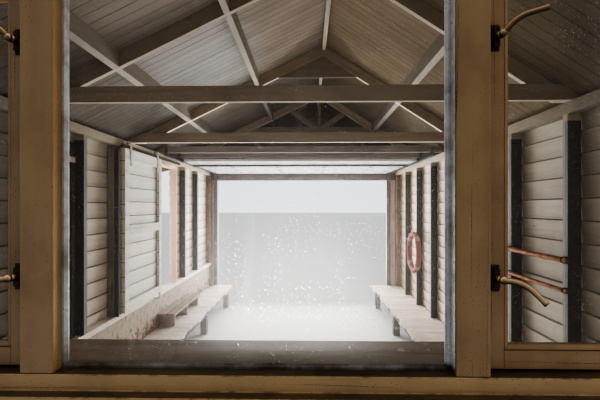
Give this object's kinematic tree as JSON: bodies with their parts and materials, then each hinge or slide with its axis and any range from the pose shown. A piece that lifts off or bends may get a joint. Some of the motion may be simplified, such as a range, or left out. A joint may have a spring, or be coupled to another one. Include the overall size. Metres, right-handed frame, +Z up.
{
  "type": "boathouse",
  "caption": "Timber boathouse over water: one hall between plank walkways, open lake end with a raised overhead door, sliding side door and a triple window in the landward end.",
  "frame": {"origin": "middle of the building's foot, where the foundations and piles meet the bed", "axes": "+Z up, +Y along the hall towards the lake mouth, +X across the hall to the right seen from the landward end"},
  "size_m": [4.91, 8.4, 4.4044],
  "materials": {
    "barge_paint": "off-white paint",
    "bearer_wood": "dark wet timber",
    "black_iron": "dark painted iron",
    "boarding": "weathered painted boards",
    "brick": "painted brick, worn bare low down",
    "ceiling": "cream-grey boards",
    "concrete": "cement render",
    "copper": "dull copper",
    "corner_wood": "brown stain",
    "dark_frame": "dark paint",
    "dark_timber": "dark stain",
    "door_paint": "off-white painted boards",
    "door_post_wood": "weathered, paint worn thin",
    "galvanised": "galvanised",
    "glass": "clear, dusty",
    "hall_sill_paint": "dusty grey paint",
    "handle_metal": "dark bronze",
    "lift_door": "white coated panels",
    "lining_paint": "pink primer",
    "mouth_wood": "weathered purple-brown wood",
    "planks": "bare weathered planks",
    "post_wood": "cream-grey paint",
    "ring": "faded red cover with pale bands",
    "roof_timber": "dusty cream-grey paint",
    "side_glass": "dark, dusty",
    "sill_paint": "cream paint",
    "sill_wood": "worn varnished board",
    "strip_dark": "blue-black",
    "tiles": "fired clay",
    "wall_boards": "off-white painted lapped boards",
    "window_wood": "cream paint, dull and worn"
  },
  "bodies": {
    "building": {"landward_wall_below": "boarding", "landward_wall_sides": "boarding", "landward_gable": "boarding", "window_frame": "window_wood", "window_glass": "glass", "casements": "window_wood", "window_handles": "handle_metal", "window_board": "sill_wood", "hall_sill": "hall_sill_paint", "lake_wall_sides": "mouth_wood", "lake_lintel": "mouth_wood", "lake_gable": "boarding", "left_plinth": "brick", "left_sill": "sill_paint", "left_wall_rear": "wall_boards", "left_wall_middle": "wall_boards", "left_wall_front": "wall_boards", "left_wall_over_openings": "wall_boards", "doorway_lining": "lining_paint", "side_window_frame": "dark_frame", "side_window_glass": "side_glass", "right_foundation": "concrete", "right_wall": "wall_boards", "left_posts": "post_wood", "right_posts": "post_wood", "post_sleeves": "strip_dark", "door_post": "door_post_wood", "corner_posts": "corner_wood", "wall_plates": "post_wood", "left_rafters": "roof_timber", "right_rafters": "roof_timber", "tie_beams": "roof_timber", "gusset_plates": "roof_timber", "collar_truss": "roof_timber", "cross_beams": "dark_timber", "ridge_beam": "roof_timber", "purlins": "roof_timber", "left_roof_boards": "ceiling", "right_roof_boards": "ceiling", "left_roof_cover": "tiles", "right_roof_cover": "tiles", "ridge_cap": "tiles", "bargeboards": "barge_paint", "left_walkway": "planks", "right_walkway": "planks", "walkway_bearers": "bearer_wood", "walkway_piles": "bearer_wood", "door_step": "planks", "overhead_door": "lift_door", "overhead_door_tracks": "galvanised", "sliding_door_rail": "black_iron", "life_ring": "ring", "hanging_rails": "copper"},
    "sliding_door": {"sliding_door": "door_paint", "door_hangers": "black_iron"}
  },
  "joints": [
    {"name": "side_door_slide", "type": "slide", "parent": "building", "child": "sliding_door", "axis": [0, 1, 0], "range_m": [0, 0.93]}
  ]
}
